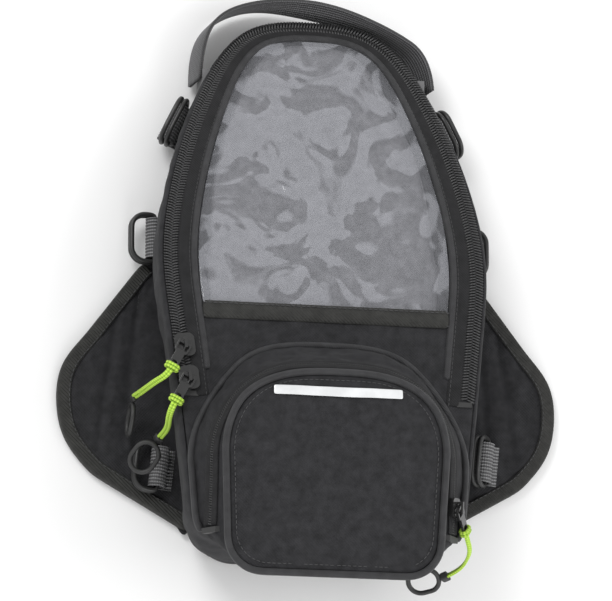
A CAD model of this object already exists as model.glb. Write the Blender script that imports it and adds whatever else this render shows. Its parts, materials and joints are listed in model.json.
import json
import math

import bmesh
import bpy
import numpy as np
from mathutils import Matrix, Vector


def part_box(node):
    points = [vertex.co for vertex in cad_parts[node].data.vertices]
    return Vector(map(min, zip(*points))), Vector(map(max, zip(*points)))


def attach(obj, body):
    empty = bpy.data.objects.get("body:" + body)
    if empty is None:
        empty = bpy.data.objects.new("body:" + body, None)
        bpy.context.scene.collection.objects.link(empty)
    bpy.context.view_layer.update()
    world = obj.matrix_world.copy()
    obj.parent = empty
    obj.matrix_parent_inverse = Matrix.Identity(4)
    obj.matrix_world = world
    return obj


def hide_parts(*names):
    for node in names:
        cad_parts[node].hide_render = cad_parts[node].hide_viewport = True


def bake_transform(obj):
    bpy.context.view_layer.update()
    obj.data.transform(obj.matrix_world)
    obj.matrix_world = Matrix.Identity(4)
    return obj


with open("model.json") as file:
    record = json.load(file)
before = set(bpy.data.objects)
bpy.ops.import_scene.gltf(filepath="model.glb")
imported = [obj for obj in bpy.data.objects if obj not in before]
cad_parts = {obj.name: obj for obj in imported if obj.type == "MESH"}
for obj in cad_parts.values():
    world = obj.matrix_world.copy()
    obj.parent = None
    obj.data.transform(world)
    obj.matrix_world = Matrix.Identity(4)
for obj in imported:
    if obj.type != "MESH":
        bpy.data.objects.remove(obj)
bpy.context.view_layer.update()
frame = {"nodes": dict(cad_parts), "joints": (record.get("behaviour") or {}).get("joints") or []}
MM = 0.001
rng = np.random.default_rng(11)

# ---- Sizes of the bag in millimetres, from the frame where it holds them ----
wall_low, wall_high = (np.array(corner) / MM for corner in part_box("side_wall"))
HALF, APEX_Y, TAIL_Y = wall_high[0], wall_high[1], wall_low[1]
SHOULDER_Y = -15.0
LEAN = 0.115
STRAIGHT = 0.985 * HALF
TAIL_RADIUS = 24.0
ARCH = [(0, 1), (0.36, 0.972), (0.7, 0.752), (0.95, 0.36), (1, 0.166)]
CROWN = 980.0
CREST_Z = 72.0
BASE_TOP = 5.0
FOOT_INSET = 12.0
WIDE_Z = 45.0
HEM = 3.0
CHAIN_INSET = 7.5
CHAIN_END_Y = -73.0
PIPING_INSET = 20.5
WINDOW_LOW_Y = -18.0
BINDING_WIDTH = 11.0
FACE_APEX = (-68.0, 100.0)
FACE_SLOPE = 13.0 / 110.0
FACE_LENGTH = 110.0 * math.hypot(1, FACE_SLOPE)
FOOT_APEX_Y = -41.0
POCKET_RADIUS = 18.0
FLAP_Y = -151.0
HEM_ROUND = 5.0
PIPING_RADIUS = 2.1
TAPE_END_Y = -76.0
COIL_REACH = 4.0
PANEL_COLUMNS, FILM_COLUMNS = 41, 49
FACE_HALF, FACE_END_HALF, FACE_ARCH = 61.5, 58.5, 44.0
FACE_BEND = ((0.56, 0.09), (0.84, 0.33))
FOOT_HALF, FOOT_END_HALF, FOOT_ARCH = 80.0, 76.0, 72.0
FOOT_BEND = ((0.56, 0.11), (0.78, 0.38))
FACE_ROWS, GUSSET_ROWS = 20, 14
STRAND_RADIUS, STRAND_SHIFT = 1.0, 0.9
RING_BAR = 3.0
RING_PITCH = 3.3
WEBBING_PITCH = 2.0
STRAP_PITCH = 2.45


# ================= Geometry helpers =================
def unit(v):
    v = np.asarray(v, float)
    return v / np.maximum(np.linalg.norm(v, axis=-1, keepdims=True), 1e-12)


def spline(points, start, end, count):
    """Smooth cubic through points, with the given directions at its ends."""
    p = np.array(points, float)
    t = np.concatenate([[0], np.cumsum(np.linalg.norm(np.diff(p, axis=0), axis=1))])
    a, b = np.eye(len(p)), np.zeros_like(p)
    b[0], b[-1] = unit(start), unit(end)
    for i in range(1, len(p) - 1):
        h0, h1 = t[i] - t[i - 1], t[i + 1] - t[i]
        a[i, i - 1:i + 2] = h1, 2 * (h0 + h1), h0
        b[i] = 3 * (h1 * (p[i] - p[i - 1]) / h0 + h0 * (p[i + 1] - p[i]) / h1)
    m = np.linalg.solve(a, b)
    s = np.linspace(0, t[-1], count)
    i = np.clip(np.searchsorted(t, s, "right") - 1, 0, len(p) - 2)
    h = (t[i + 1] - t[i])[:, None]
    u = (s - t[i])[:, None] / h
    return ((2 * u**3 - 3 * u**2 + 1) * p[i] + (u**3 - 2 * u**2 + u) * h * m[i]
            + (3 * u**2 - 2 * u**3) * p[i + 1] + (u**3 - u**2) * h * m[i + 1])


def half_plan(points, end_way, corner, radius):
    """Right half of an arched plan, from its tip round to the middle of its far end."""
    arch = spline(points, (1, 0), end_way, 44)
    corner = np.array(corner, float)
    up, across = unit(arch[-1] - corner), np.array([-1.0, 0.0])
    half = math.acos(up @ across) / 2
    begin, end = (corner + way * radius / math.tan(half) for way in (up, across))
    centre = corner + unit(up + across) * radius / math.sin(half)
    a0, a1 = (math.atan2(*(p - centre)[::-1]) for p in (begin, end))
    turn = np.linspace(a0, a1, 9)[1:-1]
    arc = centre + radius * np.stack([np.cos(turn), np.sin(turn)], 1)
    side = np.linspace(arch[-1], begin, 20)[1:]
    tail = np.linspace(end, (0, corner[1]), 12)
    return np.vstack([arch, side, arc, tail])


def both_sides(right):
    """Closed loop from a right half: tip, right side, far end, left side."""
    return np.vstack([right, (right[1:-1] * ([-1] + [1] * (right.shape[1] - 1)))[::-1]])


def top_z(y):
    return CREST_Z - CROWN + np.sqrt(CROWN**2 - (np.asarray(y, float) - TAIL_Y) ** 2)


def side_x(y):
    return STRAIGHT - LEAN * (SHOULDER_Y - np.minimum(y, SHOULDER_Y))


def outline(side, tip, tail):
    """Right half of the bag's plan, drawn in from its widest outline."""
    run = APEX_Y - tip - SHOULDER_Y
    points = [(x * (HALF - side), SHOULDER_Y + y * run) for x, y in ARCH]
    end = TAIL_Y + tail
    corner = (float(side_x(end)) - side, end)
    return half_plan(points + [(STRAIGHT - side, SHOULDER_Y)], (-LEAN, -1), corner, TAIL_RADIUS)


def resample(path, step):
    path = np.asarray(path, float)
    s = np.concatenate([[0], np.cumsum(np.linalg.norm(np.diff(path, axis=0), axis=1))])
    at = np.linspace(0, s[-1], max(2, int(round(s[-1] / step)) + 1))
    return np.stack([np.interp(at, s, path[:, k]) for k in range(path.shape[1])], 1)


def seam(side, rear, step=3.0, lift=0.0, extra=0.0):
    """Path on the top surface, one distance in from the side: right, round the tip, left."""
    right = outline(side, side * 0.5 + extra, side)[:63]
    x = np.interp(-rear, -right[:, 1], right[:, 0])
    right = np.vstack([right[right[:, 1] > rear + 0.1], (x, rear)])
    flat = resample(np.vstack([right[::-1], right[1:] * (-1, 1)]), step)
    return np.column_stack([flat, top_z(flat[:, 1]) + lift])


def top_normals(path):
    lean = (path[:, 1] - TAIL_Y) / CROWN
    return np.stack([0 * lean, lean, np.sqrt(1 - lean**2)], 1)


def frames(path, ups, closed):
    if closed:
        tangent = unit(np.roll(path, -1, 0) - np.roll(path, 1, 0))
    else:
        tangent = unit(np.gradient(path, axis=0))
    side = unit(np.cross(tangent, ups))
    return tangent, side, np.cross(side, tangent)


def grid(rows, columns, close_rows=False, close_columns=False, start=0):
    faces = []
    for i in range(rows if close_rows else rows - 1):
        for j in range(columns if close_columns else columns - 1):
            next_i, next_j = (i + 1) % rows, (j + 1) % columns
            faces.append(tuple(start + row * columns + column for row, column in
                               ((i, j), (i, next_j), (next_i, next_j), (next_i, j))))
    return faces


def sweep(path, profile, ups, closed=False, tube=True):
    """Profile (sideways, up) carried along a path: verts, faces, and (along, across) in millimetres."""
    path, profile = np.asarray(path, float), np.asarray(profile, float)
    ups = np.broadcast_to(np.asarray(ups, float), path.shape)
    _, side, up = frames(path, ups, closed)
    verts = (path[:, None] + profile[None, :, :1] * side[:, None]
             + profile[None, :, 1:] * up[:, None])
    n, m = len(path), len(profile)
    faces = grid(n, m, closed, tube)
    if tube and not closed:
        faces += [tuple(range(m))[::-1], tuple((n - 1) * m + k for k in range(m))]
    along = np.concatenate([[0], np.cumsum(np.linalg.norm(np.diff(path, axis=0), axis=1))])
    across = np.concatenate([[0], np.cumsum(np.linalg.norm(np.diff(profile, axis=0), axis=1))])
    uv = np.stack(np.broadcast_arrays(along[:, None], across[None]), -1).reshape(-1, 2)
    return verts.reshape(-1, 3), faces, uv


def circle(radius, sides=10, squash=1.0, at=(0, 0)):
    a = np.linspace(0, 2 * math.pi, sides, endpoint=False)
    return np.stack([at[0] + radius * np.cos(a), at[1] + radius * squash * np.sin(a)], 1)


def slab(width, low, high, steps=8, crown=0.0):
    """Closed profile of a flat band with softened edges."""
    x = np.linspace(-width / 2, width / 2, steps)
    arch = crown * (1 - (2 * x / width) ** 2)
    ends = 0.3 * min(width, high - low)
    x_in = np.clip(x, -width / 2 + ends, width / 2 - ends)
    upper = np.stack([x, high + arch - ends * (x != x_in)], 1)
    lower = np.stack([x, low + arch * 0.5 + ends * (x != x_in)], 1)
    return np.vstack([upper, lower[::-1]])


def tube(path, radius, sides=8, closed=False):
    path = np.asarray(path, float)
    way = unit(np.cross(path[1] - path[0], path[-1] - path[0]) + (1e-4, 2e-4, 1e-3))
    return sweep(path, circle(radius, sides), way, closed)


def repeat(path, ups, pitch, template, start=0.5):
    """Copies of a template (along, sideways, up) set along a path at one pitch."""
    fine = resample(path, 1.0)
    along = np.linspace(0, 1, len(path))
    ups = np.broadcast_to(ups, path.shape)
    ups = np.stack([np.interp(np.linspace(0, 1, len(fine)), along, ups[:, k]) for k in range(3)], 1)
    tangent, side, up = frames(fine, ups, False)
    s = np.concatenate([[0], np.cumsum(np.linalg.norm(np.diff(fine, axis=0), axis=1))])
    verts, faces = template[:2]
    out, all_faces = [], []
    for n, at in enumerate(np.arange(start * pitch, s[-1], pitch)):
        p, t, d, u = (np.array([np.interp(at, s, field[:, k]) for k in range(3)])
                      for field in (fine, tangent, side, up))
        out.append(p + verts[:, :1] * t + verts[:, 1:2] * d + verts[:, 2:] * u)
        all_faces += [tuple(v + n * len(verts) for v in face) for face in faces]
    return np.vstack(out), all_faces, None


def weld_doubles(obj):
    mesh = bmesh.new()
    mesh.from_mesh(obj.data)
    bmesh.ops.remove_doubles(mesh, verts=mesh.verts, dist=0.00005)
    mesh.to_mesh(obj.data)
    mesh.free()


def facing(obj, upward=True):
    """Turns the faces so that they look up, or out from the object's middle line."""
    co = np.array([p.center for p in obj.data.polygons])
    normal = np.array([p.normal for p in obj.data.polygons])
    way = np.tile((0, 0, 1.0), (len(co), 1)) if upward else (co - co.mean(0)) * (1, 1, 0)
    before = float((normal * way).sum())
    if before < 0:
        obj.data.flip_normals()
    print("faces of", obj.name, "turned" if before < 0 else "kept")


def near_rows(obj, rows):
    """Vertices of obj that lie on the given rows of points."""
    held = {tuple(np.round(p, 2)) for p in np.vstack(rows)}
    return [v.index for v in obj.data.vertices if tuple(np.round(np.array(v.co) / MM, 2)) in held]


def merge(*parts):
    verts, faces, uvs, start = [], [], [], 0
    for part in parts:
        verts.append(part[0])
        faces += [tuple(v + start for v in face) for face in part[1]]
        uvs.append(np.zeros((len(part[0]), 2)) if part[2] is None else part[2])
        start += len(part[0])
    return np.vstack(verts), faces, np.vstack(uvs)


def build(name, part, material, slot, *replaced, body=None, thick=0.0, smooth=2):
    """A Blender piece from millimetre vertices; it rides on a body and stands for CAD nodes."""
    verts, faces, uv = part
    mesh = bpy.data.meshes.new(name)
    mesh.from_pydata((np.asarray(verts) * MM).tolist(), [], faces)
    if uv is not None:
        layer = mesh.uv_layers.new(name="along")
        index = np.zeros(len(mesh.loops), int)
        mesh.loops.foreach_get("vertex_index", index)
        layer.data.foreach_set("uv", np.asarray(uv, float)[index].ravel())
    mesh.polygons.foreach_set("use_smooth", [smooth > 0] * len(mesh.polygons))
    obj = bpy.data.objects.new(name, mesh)
    bpy.context.scene.collection.objects.link(obj)
    mesh.materials.append(material)
    if thick:
        solid = obj.modifiers.new("thickness", "SOLIDIFY")
        solid.thickness = thick * MM
        solid.offset = -1
    if smooth > 1:
        subdivision = obj.modifiers.new("subdivision", "SUBSURF")
        subdivision.levels = subdivision.render_levels = smooth - 1
    if replaced:
        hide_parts(*replaced)
    if body:
        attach(obj, body)
    return obj


# ================= Materials =================
def material(name, color, rough, **sockets):
    made = bpy.data.materials.new(name)
    made.use_nodes = True
    shader = made.node_tree.nodes["Principled BSDF"]
    shader.inputs["Base Color"].default_value = (*color, 1)
    shader.inputs["Roughness"].default_value = rough
    for socket, value in sockets.items():
        shader.inputs[socket.replace("_", " ")].default_value = value
    return made, made.node_tree, shader


def node(tree, kind, settings=(), **inputs):
    made = tree.nodes.new("ShaderNode" + kind)
    for key, value in dict(settings).items():
        setattr(made, key, value)
    for key, value in inputs.items():
        socket = made.inputs[int(key[1:])] if key[0] == "i" and key[1:].isdigit() else made.inputs[key]
        if isinstance(value, bpy.types.NodeSocket):
            tree.links.new(value, socket)
        else:
            socket.default_value = value
    return made


def math_node(tree, operation, a, b=0.0):
    return node(tree, "Math", {"operation": operation}, i0=a, i1=b).outputs[0]


def mottled(tree, shader, place, color, scale, spread):
    """Base colour that varies softly from dark to light."""
    noise = node(tree, "TexNoise", Vector=place, Scale=scale, Detail=6.0, Roughness=0.65)
    ramp = node(tree, "ValToRGB", Fac=noise.outputs["Fac"])
    ramp.color_ramp.elements[0].position = 0.32
    ramp.color_ramp.elements[1].position = 0.7
    ramp.color_ramp.elements[0].color = (*[c * (1 - spread) for c in color], 1)
    ramp.color_ramp.elements[1].color = (*[min(1, c * (1 + spread)) for c in color], 1)
    tree.links.new(ramp.outputs["Color"], shader.inputs["Base Color"])


def bump(tree, shader, height, strength, distance):
    made = node(tree, "Bump", Height=height, Strength=strength, Distance=distance)
    tree.links.new(made.outputs["Normal"], shader.inputs["Normal"])


def woven(name, color, pitch=0.9, rough=0.82, spread=0.35, depth=0.00025, twill=False, sheen=0.04):
    """Woven cloth: crossing threads on whichever two axes lie in the surface, with soft mottling."""
    made, tree, shader = material(name, color, rough, Sheen_Weight=sheen, Sheen_Roughness=0.45,
                                  Specular_IOR_Level=0.22)
    place = node(tree, "TexCoord")
    mottled(tree, shader, place.outputs["Object"], color, 160, spread)
    xyz = node(tree, "SeparateXYZ", Vector=place.outputs["Object"]).outputs
    normal = node(tree, "SeparateXYZ", Vector=place.outputs["Normal"]).outputs
    wave = 2 * math.pi / (2 * pitch * MM)
    parts = []
    for a, b, n in ((0, 1, 2), (1, 2, 0), (2, 0, 1)):
        one, two = (math_node(tree, "MULTIPLY", xyz[k], wave) for k in (a, b))
        if twill:
            cloth = math_node(tree, "SINE", math_node(tree, "ADD", one, two))
        else:
            cloth = math_node(tree, "MULTIPLY", math_node(tree, "SINE", one),
                              math_node(tree, "SINE", two))
        weight = math_node(tree, "POWER", math_node(tree, "ABSOLUTE", normal[n]), 4.0)
        parts.append(math_node(tree, "MULTIPLY", cloth, weight))
    weave = math_node(tree, "ADD", math_node(tree, "ADD", parts[0], parts[1]), parts[2])
    grain = node(tree, "TexNoise", Vector=place.outputs["Object"], Scale=900.0, Detail=3.0)
    height = math_node(tree, "ADD", weave, math_node(tree, "MULTIPLY", grain.outputs["Fac"], 1.6))
    bump(tree, shader, height, 0.55, depth)
    return made


def ribbed(name, color, pitch, rough=0.7, spread=0.25, depth=0.0006, along=False, sheen=0.04):
    """Webbing: ribs that follow the strip's own length or width, in light and dark yarn."""
    made, tree, shader = material(name, color, rough, Sheen_Weight=sheen, Sheen_Roughness=0.5)
    uv = node(tree, "TexCoord").outputs["UV"]
    uvs = node(tree, "SeparateXYZ", Vector=uv).outputs
    yarn_pitch = 1.3
    rib, yarn = (math_node(tree, "SINE", math_node(tree, "MULTIPLY", uvs[k], 2 * math.pi / gap))
                 for k, gap in ((0 if along else 1, pitch), (1 if along else 0, yarn_pitch)))
    cloth = math_node(tree, "ADD", math_node(tree, "MULTIPLY", rib, 0.75),
                      math_node(tree, "MULTIPLY", yarn, 0.25))
    noise = node(tree, "TexNoise", Vector=uv, Scale=1.2, Detail=4.0).outputs["Fac"]
    ramp = node(tree, "ValToRGB", Fac=math_node(tree, "MULTIPLY", math_node(tree, "ADD", cloth, noise), 0.55))
    ramp.color_ramp.elements[0].color = (*[c * (1 - 2 * spread) for c in color], 1)
    ramp.color_ramp.elements[1].color = (*[min(1, c * (1 + 2.4 * spread)) for c in color], 1)
    tree.links.new(ramp.outputs["Color"], shader.inputs["Base Color"])
    bump(tree, shader, cloth, 0.8, depth)
    return made


def moulded(name, color, rough, grain=0.00012, scale=700, spread=0.15, **sockets):
    """Plastic, rubber or enamel with a fine grain and slightly uneven gloss."""
    made, tree, shader = material(name, color, rough, **sockets)
    place = node(tree, "TexCoord").outputs["Object"]
    mottled(tree, shader, place, color, 90, spread)
    fine = node(tree, "TexNoise", Vector=place, Scale=float(scale), Detail=4.0)
    uneven = node(tree, "TexNoise", Vector=place, Scale=60.0, Detail=3.0)
    gloss = node(tree, "MapRange", Value=uneven.outputs["Fac"], i3=rough * 0.75, i4=min(1.0, rough * 1.3))
    tree.links.new(gloss.outputs["Result"], shader.inputs["Roughness"])
    bump(tree, shader, fine.outputs["Fac"], 0.4, grain)
    return made


BLACK = (0.023, 0.023, 0.025)
fabric = woven("bag_fabric", BLACK)
lining = woven("lining_fabric", (0.035, 0.035, 0.038), 0.6)
twill = woven("binding_twill", (0.034, 0.034, 0.032), 1.1, 0.7, 0.3, 0.0004, twill=True)
tape = woven("zipper_tape_twill", (0.016, 0.016, 0.017), 0.8, 0.72, 0.3, 0.0003, twill=True)
satin = woven("piping_satin", (0.036, 0.036, 0.038), 0.7, 0.55, 0.25, 0.0002, twill=True, sheen=0.1)
webbing = ribbed("webbing_grey", (0.2, 0.2, 0.205), WEBBING_PITCH, spread=0.32)
strap_web = ribbed("strap_grey", (0.13, 0.13, 0.135), STRAP_PITCH, spread=0.35)
cord_cloth = ribbed("cord_lime", (0.5, 0.83, 0.07), 1.6, 0.55, 0.16, 0.0003, along=True)
coil_nylon = moulded("coil_nylon", (0.03, 0.03, 0.031), 0.3, 0.00005)
enamel = moulded("slider_enamel", (0.016, 0.016, 0.016), 0.26, 0.00004, Coat_Weight=0.3)
ring_plastic = moulded("ring_plastic", (0.022, 0.022, 0.022), 0.36, 0.00006)
rubber = moulded("loop_rubber", (0.025, 0.025, 0.025), 0.5, 0.0001)
base_rubber = moulded("base_rubber", (0.018, 0.018, 0.019), 0.75, 0.0005, 350)
stiff_board = moulded("stiff_board", (0.05, 0.05, 0.055), 0.6)
grey_liner = woven("pocket_liner_grey", (0.14, 0.14, 0.15), 0.8, 0.75, 0.3)
steel = moulded("magnet_steel", (0.5, 0.5, 0.51), 0.35, Metallic=1.0)
thread = moulded("seam_thread", (0.05, 0.05, 0.052), 0.6)


def reflective_material():
    made, tree, shader = material("reflective_silver", (0.78, 0.79, 0.8), 0.34, Metallic=0.25)
    place = node(tree, "TexCoord").outputs["Object"]
    mottled(tree, shader, place, (0.76, 0.77, 0.78), 60, 0.12)
    beads = node(tree, "TexVoronoi", Vector=place, Scale=1500.0)
    bump(tree, shader, beads.outputs["Distance"], 0.3, 0.0001)
    return made


def film_material():
    """Clear flexible film: cloudy patches where it clings to the liner, and a wavy gloss."""
    made, tree, shader = material("window_clear", (0.62, 0.63, 0.68), 0.07, Specular_IOR_Level=0.7)
    place = node(tree, "TexCoord").outputs["Object"]
    patches = node(tree, "TexNoise", Vector=place, Scale=26.0, Detail=2.0, Distortion=1.6)
    ramp = node(tree, "ValToRGB", Fac=patches.outputs["Fac"])
    for stop, (position, grey) in zip(ramp.color_ramp.elements, ((0.46, 0.07), (0.5, 0.17))):
        stop.position, stop.color = position, (grey, grey, grey, 1)
    tree.links.new(ramp.outputs["Color"], shader.inputs["Alpha"])
    waves = node(tree, "TexNoise", Vector=place, Scale=34.0, Detail=2.0, Distortion=0.8)
    bump(tree, shader, waves.outputs["Fac"], 0.5, 0.004)
    return made


film_clear = film_material()
silver = reflective_material()

# ================= Camera, light and floor =================
view_way = Vector((-0.185, -0.268, 1)).normalized()
aim = Vector((0, 0.0013, 0))
distance = 3.0
camera_data = bpy.data.cameras.new("camera")
camera_data.lens = 0.1006 * distance / MM
camera_data.clip_end = 10
camera = bpy.data.objects.new("camera", camera_data)
bpy.context.scene.collection.objects.link(camera)
view_right = Vector((0, 1, 0)).cross(view_way).normalized()
view_up = view_way.cross(view_right)
view_from = aim + view_way * distance
columns = zip(view_right, view_up, view_way, view_from)
camera.matrix_world = Matrix([*columns, (0, 0, 0, 1)])
bpy.context.scene.camera = camera
bpy.context.scene.view_settings.view_transform = "Standard"


def area_light(name, place, size, watts):
    data = bpy.data.lights.new(name, "AREA")
    data.energy, data.size = watts, size
    lamp = bpy.data.objects.new(name, data)
    bpy.context.scene.collection.objects.link(lamp)
    lamp.location = place
    lamp.rotation_euler = (-Vector(place)).to_track_quat("-Z", "Y").to_euler()


area_light("key", (-0.9, 0.9, 1.5), 0.8, 15)
area_light("fill", (1.3, -0.2, 1.1), 0.9, 8)
area_light("front", (0.1, -1.4, 0.9), 0.8, 6)
world = bpy.data.worlds.new("studio")
bpy.context.scene.world = world
world.use_nodes = True
world.node_tree.nodes["Background"].inputs["Color"].default_value = (1, 1, 1, 1)
world.node_tree.nodes["Background"].inputs["Strength"].default_value = 0.75

floor_half = 4000.0
floor_steps = np.linspace(-floor_half, floor_half, 5)
floor_verts = np.array([(x, y, 0) for x in floor_steps for y in floor_steps])
floor_paint, floor_tree, floor_shader = material("floor_pale", (0.9, 0.9, 0.9), 0.7)
mottled(floor_tree, floor_shader, node(floor_tree, "TexCoord").outputs["Object"], (0.9, 0.9, 0.9), 3, 0.01)
build("floor", (floor_verts, grid(5, 5), None), floor_paint, None, smooth=0)

# ================= Cords =================
# Points of the cords in metres: straight out of the tab, over and down, to the finger loop.
cord_routes = {
    "front": [(-0.09055, -0.06078, 0.07129), (-0.0927, -0.06473, 0.07157), (-0.09855, -0.06728, 0.06329),
              (-0.10155, -0.06828, 0.05229), (-0.10355, -0.06828, 0.03979), (-0.10505, -0.06778, 0.02829)],
    "rear": [(-0.0883, -0.0804, 0.07308), (-0.09045, -0.08435, 0.07328), (-0.0909, -0.0884, 0.06508),
             (-0.0893, -0.0899, 0.05308), (-0.0891, -0.0909, 0.04108), (-0.0907, -0.0919, 0.03108)],
    "pocket": [(0.07798, -0.15002, 0.07473), (0.07954, -0.15307, 0.07181), (0.08298, -0.15852, 0.06473),
               (0.08248, -0.16302, 0.05523), (0.07948, -0.16652, 0.04773), (0.07448, -0.16852, 0.04173)],
}
finger_ways = {
    "front": ((-0.08, -0.83, -0.55), (1, 0, 0)),
    "rear": ((-0.55, -0.74, -0.35), (0, 0, 1)),
    "pocket": ((-0.87, -0.16, -0.47), (0, -0.5, 0.86)),
}
joints = {joint["name"]: joint for joint in frame["joints"]}


def smooth_line(points):
    """Points read from a NURBS spline, in millimetres."""
    curve = bpy.data.curves.new("route", "CURVE")
    curve.dimensions = "3D"
    line = curve.splines.new("NURBS")
    line.points.add(len(points) - 1)
    for point, place in zip(line.points, points):
        point.co = (*place, 1)
    line.order_u = 3
    line.use_endpoint_u = True
    line.resolution_u = 12
    holder = bpy.data.objects.new("route", curve)
    mesh = bpy.data.meshes.new_from_object(holder)
    path = np.array([v.co for v in mesh.vertices]) / MM
    bpy.data.objects.remove(holder)
    bpy.data.meshes.remove(mesh)
    return path


def oval(at, along, across, length, width, count=40):
    """Stadium-shaped loop in the plane of two directions."""
    a = np.linspace(0, 2 * math.pi, count, endpoint=False)
    straight = (length - width) / 2
    local = np.stack([np.cos(a) * width / 2 + np.sign(np.cos(a)) * straight, np.sin(a) * width / 2], 1)
    return at + local[:, :1] * along + local[:, 1:] * across


def finger_piece(name, body):
    """Moulded cap over the cord's ends, with its oval finger ring."""
    route = np.array(cord_routes[name]) / MM
    neck, end = route[-1], unit(route[-1] - route[-2])
    along = unit(finger_ways[name][0])
    flat = np.array(finger_ways[name][1], float)
    flat = unit(flat - along * (flat @ along))
    across = np.cross(flat, along)
    ring = sweep(oval(neck + along * 14.5, along, across, 18, 14), circle(1.5, 10), flat, closed=True)
    steps = np.array([0, 0.4, 1.5, 3.5, 5.2])
    cap_path = neck + np.outer(steps - 0.6, unit(end + along * 0.25))
    cap = sweep(cap_path, slab(6.2, -2.2, 2.2, 6, 0.4), flat)
    return build("finger_ring_" + name, merge(ring, cap), rubber, "loop_plastic", "finger_loop_" + name,
                 body=body, smooth=2)


for name, points in cord_routes.items():
    body = "puller_" + name
    path = smooth_line(points)
    along = unit(path[1] - path[0])
    bar = unit(np.array(joints["puller_" + name + "_swing"]["axis"]))
    ups = np.cross(unit(np.gradient(path, axis=0)), bar)
    strands = [sweep(path, circle(STRAND_RADIUS, 10, at=(shift, 0)), ups)
               for shift in (-STRAND_SHIFT, STRAND_SHIFT)]
    # the doubled cord is hitched through the tab's hole and drawn tight over itself
    hitch = [sweep(oval(path[0] + along * shift, bar, np.cross(along, bar), 7.2, 4.2, 24),
                   circle(0.95, 8), along, closed=True) for shift in (-1.8, 0.1)]
    strands_piece = build("cord_strands_" + name, merge(*strands), cord_cloth, "lime_cord", "cord_" + name,
                          body=body, smooth=1)
    hitch_piece = build("cord_hitch_" + name, merge(*hitch), cord_cloth, "lime_cord", body=body, smooth=1)
    ring_piece = finger_piece(name, body)

# ================= Body wall =================
outer = both_sides(outline(0, 0, 0))
inner = both_sides(outline(FOOT_INSET, 1, 2))
ring_count = len(outer)
rim_z = top_z(outer[:, 1])


def wall_ring(share):
    """Loop of the wall from its foot (0) to the start of the shoulder (1)."""
    z = BASE_TOP + (rim_z - HEM_ROUND - BASE_TOP) * share
    full = np.minimum(WIDE_Z, rim_z - HEM_ROUND)
    g = np.clip((z - BASE_TOP) / (full - BASE_TOP), 0, 1)[:, None]
    flat = outer + (inner - outer) * (1 - g) ** 1.5
    return np.column_stack([flat, z])


shares = np.linspace(0, 1, 15)
rings = [wall_ring(0) - (0, 0, 2.6)] + [wall_ring(share) for share in shares]
toward = unit(inner - outer)
for turn in np.radians((30, 60, 90)):
    flat = outer + toward * HEM * (1 - math.cos(turn))
    rings.append(np.column_stack([flat, rim_z - HEM_ROUND + HEM_ROUND * math.sin(turn)]))
rings.append(np.column_stack([outer + toward * (HEM + 0.4), rim_z - 2.5]))
wall_verts = np.vstack(rings)
wall_faces = [face[::-1] for face in grid(len(rings), ring_count, close_columns=True)]
wall = build("side_wall_fabric", (wall_verts, wall_faces, None), fabric, "body_fabric", "side_wall")
held_rows = [0, 1, 2, *range(len(rings) - 5, len(rings))]
wall_pins = [row * ring_count + k for row in held_rows for k in range(ring_count)]

# ================= Top panel and lid =================
def half_width(y, inset):
    """Half width of the plan at one inset, for any Y down to the tail corners."""
    right = outline(inset, inset * 0.5, inset)[:-11]
    return np.interp(-np.asarray(y), -right[:, 1], right[:, 0])


def sheet_rows(ys, widths, lift, columns=PANEL_COLUMNS, crown=0.0):
    across = np.linspace(-1, 1, columns)
    rows = []
    for y, w in zip(ys, widths):
        rows.append(np.column_stack([across * w, np.full(columns, y),
                                     top_z(y) + lift + crown * (1 - across**4)]))
    return np.vstack(rows)


panel_ys = np.concatenate([np.linspace(TAIL_Y + 3.4, -42, 48), np.linspace(-41, WINDOW_LOW_Y, 14)])
panel_widths = [half_width(y, HEM + 0.2) if y < -41.5 else half_width(y, 19) for y in panel_ys]
panel = sheet_rows(panel_ys, panel_widths, 0.1, crown=0.7)
panel[:, 2] += 0.25 * np.sin(panel[:, 0] / 7.1 + panel[:, 1] / 11) * np.sin(panel[:, 1] / 6.3)
top_fabric = build("top_fabric", (panel, grid(len(panel_ys), PANEL_COLUMNS), None), fabric, "body_fabric",
                   "front_panel", "lid_panel", thick=1.6)

window_ys = np.concatenate([np.linspace(WINDOW_LOW_Y - 2.4, 120, 50),
                            120 + 33 * np.sin(np.linspace(0.06, math.pi / 2, 16))])
window_widths = np.array([half_width(y, 23.0) for y in window_ys])
film = sheet_rows(window_ys, window_widths, 0.5, FILM_COLUMNS)
for wave, lean, size in ((19.0, 0.4, 0.35), (11.0, -0.9, 0.22), (31.0, 1.3, 0.4)):
    film[:, 2] += size * np.sin(film[:, 0] / wave * 3 + film[:, 1] * lean / 9 + lean)
window_faces = grid(len(window_ys), FILM_COLUMNS)
film_piece = build("window_clear_film", (film, window_faces, None), film_clear, "window_clear",
                   "window_film", body="lid", thick=0.5)

liner = sheet_rows(window_ys, window_widths + 1.0, -7.6, FILM_COLUMNS, 3.4)
build("phone_pocket_liner", (liner, window_faces, None), grey_liner, "pocket_grey", body="lid", thick=0.8)

binding_y = WINDOW_LOW_Y - BINDING_WIDTH / 2
binding_x = np.linspace(-1, 1, 40) * half_width(binding_y, 22)
binding_path = np.column_stack([binding_x, 0 * binding_x + binding_y, 0 * binding_x + top_z(binding_y)])
binding_up = top_normals(binding_path)
build("window_binding_tape", sweep(binding_path, slab(BINDING_WIDTH, 0.2, 2.0, 10, 0.5), binding_up),
      twill, "binding_twill", "window_binding", body="lid")


def capsule(length, radius):
    """Template of one stitch, along the first axis."""
    xs = np.array([-0.5, -0.4, 0, 0.4, 0.5]) * length
    ring = circle(1, 6)
    size = np.array([0.4, 1, 1.1, 1, 0.4]) * radius
    verts = np.vstack([np.column_stack([np.full(6, x), ring * r]) for x, r in zip(xs, size)])
    faces = grid(5, 6, close_columns=True)
    return verts, [*faces, tuple(range(6))[::-1], tuple(range(24, 30))]


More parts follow.
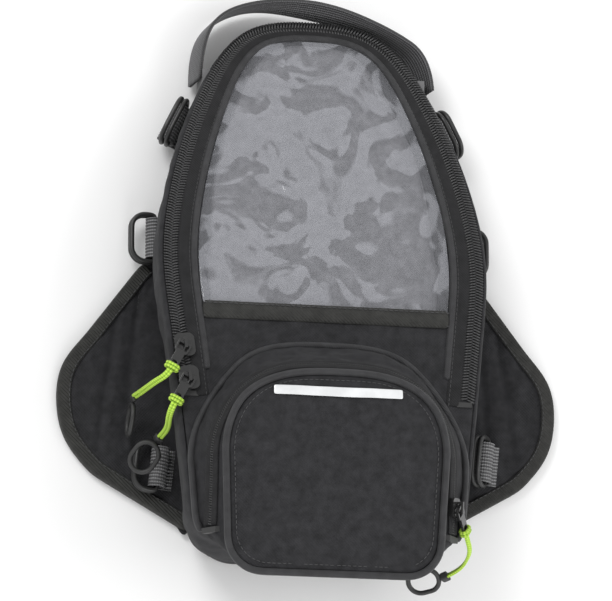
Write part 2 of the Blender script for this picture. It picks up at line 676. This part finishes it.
def stitches(path, ups, pitch=3.0, radius=0.3):
    return repeat(path, ups, pitch, capsule(pitch * 0.72, radius))


stitch_rows = [binding_path + (0, shift, 2.15) for shift in (-3.9, 3.9)]
build("window_binding_stitches", merge(*[stitches(row, binding_up) for row in stitch_rows]), thread,
      "binding_twill", body="lid", smooth=1)

# ================= Zipper, tapes and piping =================
def across_hinge(obj):
    """The strip runs on over the lid's hinge line, so it bends there."""
    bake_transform(obj)
    return obj


across_hinge(top_fabric)
piping_path = seam(PIPING_INSET, -60, 2.5, 0.2, 0.5)
piping = build("top_piping", sweep(piping_path, circle(PIPING_RADIUS, 12), top_normals(piping_path)), satin,
               "piping", "lid_piping", "shoulder_piping", smooth=2)
tape_path = seam(15.4, TAPE_END_Y, 2.5, 0.0, 0.5)
inner_tape = build("inner_zipper_tape",
                   sweep(tape_path, slab(8.4, 0.0, 0.9, 10, 0.35), top_normals(tape_path)),
                   tape, "zipper_tape", "zipper_tape_lid", smooth=2)
edge_path = seam(CHAIN_INSET, TAPE_END_Y, 2.5, -1.4)
build("outer_zipper_tape", sweep(edge_path, slab(9.4, -0.5, 0.5, 6), top_normals(edge_path)), tape,
      "zipper_tape", "zipper_tape_body", body="root", smooth=1)


def coil_loop(side):
    """One turn of the coil: it rises from the tape, leans along the chain and meets the other row."""
    along = np.array([-0.7, -0.55, 0.0, 0.55, 0.7])
    out = np.array([0.92, 1.0, 0.5, 0.02, -0.04]) * COIL_REACH * side
    rise = np.array([-0.9, 0.3, 0.95, 0.45, -0.5])
    return tube(np.stack([along, out, rise], 1), 0.62, 6)


def coil(path, side, pitch=1.75, start=0.5):
    return repeat(path, top_normals(path), pitch, coil_loop(side), start)


chain_path = seam(CHAIN_INSET, CHAIN_END_Y, 2.0)
build("outer_coil", coil(chain_path, 1), coil_nylon, "zipper_coil", "zipper_coil_body", body="root",
      smooth=1)
inner_coil = build("inner_coil", coil(chain_path, -1, start=1.0), coil_nylon, "zipper_coil",
                   "zipper_coil_lid", smooth=1)
edge_stitch = seam(18.0, TAPE_END_Y, 2.5, 1.1, 0.5)
tape_stitches = build("tape_stitches", stitches(edge_stitch, top_normals(edge_stitch), 2.8, 0.22),
                      thread, "zipper_tape", smooth=1)
for strip in (piping, inner_tape, inner_coil, tape_stitches):
    across_hinge(strip)


# ================= Front pocket =================
def plane_loop(half, end_half, length, arch, bend, apex_y, apex_z, slope, grow=0.0):
    """Closed loop of an arched plan that lies on a sloped plane."""
    points = [(0, grow)] + [(x * (half + grow), -y * arch + 0.7 * grow) for x, y in bend]
    corner = (end_half + grow, -length - grow)
    flat = both_sides(half_plan(points + [(half + grow, -arch)], (0, -1), corner, POCKET_RADIUS))
    fall = flat[:, 1] / math.hypot(1, slope)
    return np.column_stack([flat[:, 0], apex_y + fall, apex_z + slope * fall])


foot_high = float(top_z(FOOT_APEX_Y)) - 2
foot_slope = (foot_high - float(top_z(TAIL_Y)) + 2) / (FOOT_APEX_Y - TAIL_Y)
foot_length = (FOOT_APEX_Y - TAIL_Y) * math.hypot(1, foot_slope)


def face_loop(grow=0.0):
    return plane_loop(FACE_HALF, FACE_END_HALF, FACE_LENGTH, FACE_ARCH, FACE_BEND, *FACE_APEX,
                      FACE_SLOPE, grow)


face_edge = face_loop()
foot_edge = plane_loop(FOOT_HALF, FOOT_END_HALF, foot_length, FOOT_ARCH, FOOT_BEND,
                       FOOT_APEX_Y, foot_high, foot_slope)
loop_way = unit(np.roll(face_edge, -1, 0) - np.roll(face_edge, 1, 0))
loop_out = unit(np.cross(loop_way, (0, 0, 1)) * (-1, -1, 0))
height = face_edge[:, 2] - foot_edge[:, 2]


def gusset_ring(share, out=0.0):
    """Loop of the gusset from the face (0) to the foot (1), pushed out by an amount."""
    share = np.asarray(share, float)
    share = share[:, None] if share.ndim else share
    return face_edge + (foot_edge - face_edge) * share + loop_out * (out + 2.2 * share * (1 - share))


gusset_rings = [gusset_ring(share) for share in np.linspace(0.01, 0.99, GUSSET_ROWS)]
pocket_count = len(face_edge)
gusset_faces = grid(GUSSET_ROWS, pocket_count, close_columns=True)
gusset = build("pocket_gusset_fabric", (np.vstack(gusset_rings), gusset_faces, None), fabric,
               "body_fabric", "pocket_gusset")
gusset_held = [*range(5), *range(GUSSET_ROWS - 2, GUSSET_ROWS)]
gusset_pins = [row * pocket_count + k for row in gusset_held for k in range(pocket_count)]

spine = np.column_stack([0 * face_edge[:, 0], np.clip(face_edge[:, 1], -158, -98)])
spine = np.column_stack([spine, FACE_APEX[1] + FACE_SLOPE * (spine[:, 1] - FACE_APEX[0])])
shrink = np.linspace(1, 0, FACE_ROWS)
face_rings = [spine + (face_edge - spine) * r + (0, 0, 2.2 * (1 - r**2.5)) for r in shrink]
face_faces = grid(FACE_ROWS, pocket_count, close_columns=True)
face_cloth = build("pocket_face_fabric", (np.vstack(face_rings), face_faces, None), fabric,
                   "body_fabric", "pocket_face", "pocket_lower_face")
weld_doubles(face_cloth)
face_pins = near_rows(face_cloth, face_rings[:2])


def across_flap(obj):
    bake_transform(obj)
    return obj


rim = face_edge + loop_out * 1.7 + (0, 0, 0.3)
face_piping = build("pocket_face_piping_cord",
                    sweep(rim, circle(PIPING_RADIUS, 12), (0, 0, 1), closed=True), satin, "piping",
                    "pocket_face_piping", "pocket_lower_piping", smooth=2)
foot_rim = gusset_ring(0.9, 1.0)
foot_rim[:, 2] = np.where(foot_rim[:, 1] > TAIL_Y + 4, top_z(foot_rim[:, 1]) + 1.0, foot_rim[:, 2])
tail_part = foot_rim[:, 1] > -157
order = np.roll(np.arange(pocket_count), -(pocket_count // 2))
foot_path = foot_rim[order][tail_part[order]]
build("pocket_foot_piping_cord", sweep(resample(foot_path, 3), circle(1.9, 12), (0, 0, 1)), satin, "piping",
      "pocket_foot_piping", body="root", smooth=2)

chain_rows = gusset_ring(9.5 / height, 0.7)[order]
chain_rows = resample(chain_rows[chain_rows[:, 1] > FLAP_Y - 3], 2.0)
chain_guide = face_edge + (foot_edge - face_edge) * 0.3
out_at = np.array([loop_out[np.argmin(np.linalg.norm(chain_guide - p, axis=1))] for p in chain_rows])
chain_up = unit(out_at + (0, 0, 0.9))
build("pocket_tape", merge(*[sweep(chain_rows, slab(4.4, 0.0, 0.8, 8, 0.2) + (shift, 0), chain_up)
                             for shift in (-2.35, 2.35)]),
      tape, "zipper_tape", "pocket_zipper_tape", body="root", smooth=1)
small_turn = [(-0.4, 1.1, -0.2), (-0.3, 1.2, 0.5), (0, 0, 1.0), (0.3, -1.2, 0.5), (0.4, -1.1, -0.2)]
small_coil = tube(small_turn, 0.45, 6)
build("pocket_coil", repeat(chain_rows, chain_up, 1.4, small_coil), coil_nylon, "zipper_coil",
      "pocket_zipper_coil", body="root", smooth=1)
rim_stitch = face_loop(-3.2) + (0, 0, 0.75)
rim_stitches = build("pocket_face_stitches",
                     stitches(np.vstack([rim_stitch[order], rim_stitch[order][:1]]), (0, 0, 1), 3.0, 0.26),
                     thread, "body_fabric", smooth=1)


# ================= Wings =================
def wing_edge():
    """Edge of the right wing from its front root to its rear root."""
    round_points = [(128.5, -25), (142.5, -44), (146, -66), (141, -88), (125.5, -108)]
    arc = spline(round_points, (0.75, -1), (-0.9, -1), 40)
    line = np.vstack([np.linspace((78, 19), (96, 19), 6)[:-1],
                      np.linspace((96, 19), round_points[0], 16)[:-1], arc,
                      np.linspace(round_points[-1], (70, -140), 18)[1:]])
    soft = line.copy()
    for _ in range(3):
        soft[1:-1] = (soft[:-2] + 2 * soft[1:-1] + soft[2:]) / 4
    return soft


WING_TOP = 5.9
edge = wing_edge()
root = np.linspace((76, 19), (66, -140), len(edge))
reach_steps = np.linspace(0, 1, 30) ** 0.9
crease_lines = (((98.3, 12), (107.5, -92)), ((112.5, -18), (122.5, -92)))


def crease_depth(flat):
    """How deep the sewn channels press into the wing."""
    depth = np.zeros(len(flat))
    for begin, end in crease_lines:
        begin, end = np.array(begin, float), np.array(end, float)
        way = end - begin
        t = np.clip(((flat - begin) @ way) / (way @ way), 0, 1)
        gap = np.linalg.norm(flat - begin - t[:, None] * way, axis=1)
        depth += np.exp(-((gap / 1.8) ** 2))
    return depth


def wing_top_verts(sign):
    flat = np.vstack([root + (edge - root) * r for r in reach_steps])
    z = np.full(len(flat), WING_TOP) - 1.9 * crease_depth(flat)
    z[-len(edge):] -= 1.6
    return np.column_stack([flat[:, 0] * sign, flat[:, 1], z])


wing_tops = {}
for side_name, sign in (("left", -1), ("right", 1)):
    verts = wing_top_verts(sign)
    faces = grid(len(reach_steps), len(edge))
    faces = [face[::-1] for face in faces] if sign > 0 else faces
    wing_tops[side_name] = build("wing_cloth_" + side_name, (verts, faces, None), fabric, "body_fabric",
                                 "wing_panel_" + side_name)
flat_all = np.vstack([root + (edge - root) * r for r in reach_steps])
wing_pins = [k for k in range(len(flat_all)) if crease_depth(flat_all[k:k + 1])[0] > 0.35
             or k >= (len(reach_steps) - 3) * len(edge) or k % len(edge) in (0, len(edge) - 1)
             or k < 2 * len(edge)]


# ================= Cloth simulation =================
def relax(jobs, last=18):
    """Air pressure fills each held cloth, which then keeps the shape it took."""
    scene = bpy.context.scene
    scene.frame_start, scene.frame_end = 1, last
    starts = {}
    for obj, pins, pressure, slack, cap in jobs:
        saved = [(m.name, m.show_viewport) for m in obj.modifiers]
        for m in obj.modifiers:
            m.show_viewport = False
        group = obj.vertex_groups.new(name="held")
        group.add([int(k) for k in pins], 1.0, "REPLACE")
        co = np.array([v.co for v in obj.data.vertices])
        starts[obj.name] = (co, saved, cap)
        noise = rng.normal(0, 0.00008, len(co))
        noise[list(pins)] = 0
        for v, push in zip(obj.data.vertices, noise):
            v.co = v.co + v.normal * push
        cloth = obj.modifiers.new("Cloth", "CLOTH")
        s = cloth.settings
        s.quality = 6
        s.mass = 0.15
        s.tension_stiffness = s.compression_stiffness = 20
        s.shear_stiffness = 8
        s.bending_stiffness = 0.15
        s.use_pressure = True
        s.uniform_pressure_force = pressure
        s.shrink_min = -slack
        s.vertex_group_mass = "held"
        s.effector_weights.gravity = 0
        cloth.point_cache.frame_start, cloth.point_cache.frame_end = 1, last
    for step in range(1, last + 1):
        scene.frame_set(step)
    graph = bpy.context.evaluated_depsgraph_get()
    for obj, *_ in jobs:
        start, saved, cap = starts[obj.name]
        puffed = np.array([v.co for v in obj.evaluated_get(graph).data.vertices])
        move = puffed - start
        size = np.maximum(np.linalg.norm(move, axis=1, keepdims=True), 1e-9)
        move *= cap * MM * np.tanh(size / (cap * MM)) / size
        obj.modifiers.remove(obj.modifiers["Cloth"])
        obj.vertex_groups.clear()
        obj.data.vertices.foreach_set("co", (start + move).ravel())
        for name, shown in saved:
            obj.modifiers[name].show_viewport = shown
        print("cloth", obj.name, "moved", round(float(np.linalg.norm(move, axis=1).max()) / MM, 2), "mm")
    scene.frame_set(1)


for cloth in (face_cloth, top_fabric, film_piece, *wing_tops.values()):
    facing(cloth)
for cloth in (wall, gusset):
    facing(cloth, upward=False)

relax([
    (wall, wall_pins, 0.6, 0.025, 2.2),
    (gusset, gusset_pins, 0.8, 0.03, 2.0),
    (face_cloth, face_pins, 1.5, 0.012, 1.8),
    (wing_tops["left"], wing_pins, 0.8, 0.02, 1.3),
    (wing_tops["right"], wing_pins, 0.8, 0.02, 1.3),
])


def on_cloth(flat, cloth, lift):
    """Heights of the cloth under flat points, as a smooth average of what lies nearest."""
    co = np.array([v.co for v in cloth.data.vertices]) / MM
    gap = np.linalg.norm(flat[:, None] - co[None, :, :2], axis=2)
    weight = np.exp(-((gap / 4.0) ** 2)) + 1e-9
    return np.column_stack([flat, (weight @ co[:, 2]) / weight.sum(1) + lift])


strip_low, strip_high = (np.array(corner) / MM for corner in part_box("reflective_strip"))
strip_flat = np.array([(x, y) for x in np.linspace(strip_low[0], strip_high[0], 30)
                       for y in np.linspace(strip_low[1] - 0.5, strip_high[1] + 0.5, 5)])
build("reflective_tape", (on_cloth(strip_flat, face_cloth, 0.7), grid(30, 5), None), silver, "reflective",
      "reflective_strip", body="pocket_flap", thick=0.5)


def thicken(obj, thick):
    solid = obj.modifiers.new("thickness", "SOLIDIFY")
    solid.thickness, solid.offset = thick * MM, -1
    obj.modifiers.move(len(obj.modifiers) - 1, 0)


for cloth, thick in ((wall, 1.8), (gusset, 1.6), (face_cloth, 1.6)):
    thicken(cloth, thick)
for side_name, cloth in wing_tops.items():
    thicken(cloth, 4.6)
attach(wall, "root")
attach(gusset, "root")
for strip in (face_cloth, face_piping, rim_stitches):
    across_flap(strip)


def across_fold(obj):
    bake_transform(obj)


def c_shape(width, low, high, skin):
    """Closed profile of a binding folded over an edge, which lies at the origin."""
    mid, half = (low + high) / 2, (high - low) / 2
    bend = np.radians(np.linspace(90, -90, 7))
    outside = np.stack([np.cos(bend) * 1.0, mid + np.sin(bend) * half], 1)
    inside = np.stack([np.cos(bend[::-1]) * (1.0 - skin), mid + np.sin(bend[::-1]) * (half - skin)], 1)
    return np.vstack([(-width, high), outside, (-width, low),
                      (-width, low + skin), inside, (-width, high - skin)])


for side_name, sign in (("left", -1), ("right", 1)):
    across_fold(wing_tops[side_name])
    path = np.column_stack([edge * (sign, 1), 0 * edge[:, 0]])[5:]
    path = path[::-1] if sign > 0 else path
    bind = build("wing_edge_binding_" + side_name, sweep(path, c_shape(7.6, 0.15, 7.0, 0.7), (0, 0, 1)),
                 twill, "binding_twill", "wing_binding_" + side_name, smooth=2)
    inward = sweep(path, np.array([(-6.3, 7.1), (-6.3, 7.1)]), (0, 0, 1), tube=False)[0][::2]
    rows = [stitches(inward, (0, 0, 1), 3.0, 0.26)]
    for begin, end in crease_lines:
        line = np.array([(*begin, WING_TOP - 1.65), (*end, WING_TOP - 1.65)]) * (sign, 1, 1)
        rows.append(stitches(resample(line, 2), (0, 0, 1), 3.2, 0.24))
    sewn = build("wing_stitches_" + side_name, merge(*rows), thread, "binding_twill", smooth=1)
    across_fold(bind)
    across_fold(sewn)

# ================= Handle =================
strap_route = [(-69, 126), (-68.5, 147), (-58, 166), (-36, 175.5), (-8, 176), (22, 170.5), (47, 161),
               (66.5, 146), (69, 126)]
strap_z = 15.0
strap_flat = resample(smooth_line([(x * MM, y * MM, strap_z * MM) for x, y in strap_route]), 2.5)
swing_z = joints["handle_swing"]["pos_m"][2] / MM
share = np.linspace(0, 1, len(strap_flat))
lean = np.stack([0.16 + 0.14 * np.sin(9 * share), 0.12 + 0.12 * np.sin(14 * share), 0 * share + 1], 1)
strap_ups = unit(lean)
ribs = np.linspace(-9.8, 9.8, 41)
relief = 0.16 * np.cos(ribs * 2 * math.pi / STRAP_PITCH)
strap_profile = np.vstack([np.stack([0.85 + relief, ribs], 1), np.stack([-0.85 - relief, ribs], 1)[::-1]])
build("handle_webbing", sweep(strap_flat + (0, 0, swing_z - strap_z), strap_profile, strap_ups), strap_web,
      "webbing_grey", "handle_strap", body="handle", smooth=1)

# ================= Rings and their webbing loops =================
BEHIND_WEBBING = {"middle_left": ["webbing_loops_left"], "middle_right": ["webbing_loops_right"],
                  "lower_right": ["webbing_loop_wing"]}
for joint_name in [name for name in joints if name.startswith("rings_")]:
    joint = joints[joint_name]
    name = joint_name[len("rings_"):-len("_swing")]
    at, axis = np.array(joint["pos_m"]) / MM, unit(joint["axis"])
    mesh = np.array([v.co for v in frame["nodes"]["ring_pair_" + name].data.vertices]) / MM
    out = unit(np.mean(mesh, 0) - at)
    out = unit(out - axis * (out @ axis))
    across = np.cross(axis, out)
    corner, half, deep = 8.0, 12.6 + RING_BAR / 2, 14.0
    turn = np.radians(np.linspace(0, 90, 9))
    arc = np.stack([half - corner + corner * np.cos(turn), deep - corner + corner * np.sin(turn)], 1)
    low = np.array([(0, 0), (half * 0.5, 0), (half - 1.2, 0), (half, 1.2)])
    right_half = np.vstack([low, arc])
    flat_ring = np.vstack([right_half, (right_half[1:] * (-1, 1))[::-1]])
    rings_made = []
    for level in (-0.5, 0.5):
        path = at + across * level * RING_PITCH + flat_ring[:, :1] * axis + flat_ring[:, 1:] * out
        rings_made.append(sweep(path, circle(RING_BAR / 2, 12), across, closed=True))
    build("d_rings_" + name, merge(*rings_made), ring_plastic, "ring_plastic", "ring_pair_" + name,
          body=joint["child"], smooth=2)
    # webbing round the bars, with its tail sewn down behind
    level_out = unit(np.array([axis[1], -axis[0], 0]))
    if level_out @ out < 0 and abs(out[2]) < 0.98:
        level_out = -level_out
    if name.startswith("shoulder"):
        level_out = unit(np.array([at[0], 0.484 * abs(at[0]), 0]))
    turn = np.radians(np.linspace(250, -90, 26))
    loop = at + 4.65 * (np.cos(turn)[:, None] * level_out + np.sin(turn)[:, None] * np.array([0, 0, 1.0]))
    tail = [loop[-1] - level_out * step for step in (3, 6, 9)]
    path = np.vstack([loop, tail])
    ribs = np.linspace(-11.8, 11.8, 49)
    relief = 0.14 * np.cos(ribs * 2 * math.pi / WEBBING_PITCH)
    profile = np.vstack([np.stack([ribs, 0.6 + relief], 1), np.stack([ribs, -0.6 - relief], 1)[::-1]])
    normals = unit(np.vstack([loop - at, np.tile(loop[-1] - at, (3, 1))]))
    band = sweep(path, profile, normals)
    build("ring_webbing_" + name, band, webbing, "webbing_grey", *BEHIND_WEBBING.get(name, []),
          body="wing_right" if name == "lower_right" else "root", smooth=1)

# ================= CAD nodes that keep their shape =================
kept = {
    enamel: ["slider_front", "slider_rear", "slider_pocket", "tab_front", "tab_rear", "tab_pocket"],
    rubber: ["zipper_stops", "pocket_zipper_stops"],
    base_rubber: ["base_pad"],
    stiff_board: ["base_board"],
    fabric: ["base_panel"],
    lining: ["phone_pocket_spacer", "pocket_flap_tape"],
    grey_liner: ["phone_pocket_back"],
    steel: ["wing_magnets_left", "wing_magnets_right"],
    webbing: ["handle_anchors"],
}
for paint, names in kept.items():
    for name in names:
        obj = frame["nodes"][name]
        obj.data.materials.clear()
        obj.data.materials.append(paint)
for name in kept[enamel]:
    obj = frame["nodes"][name]
    weld = obj.modifiers.new("weld", "WELD")
    weld.merge_threshold = 0.00001
    bevel = obj.modifiers.new("bevel", "BEVEL")
    bevel.width, bevel.segments = 0.0004, 3
    bevel.limit_method, bevel.angle_limit = "ANGLE", math.radians(40)
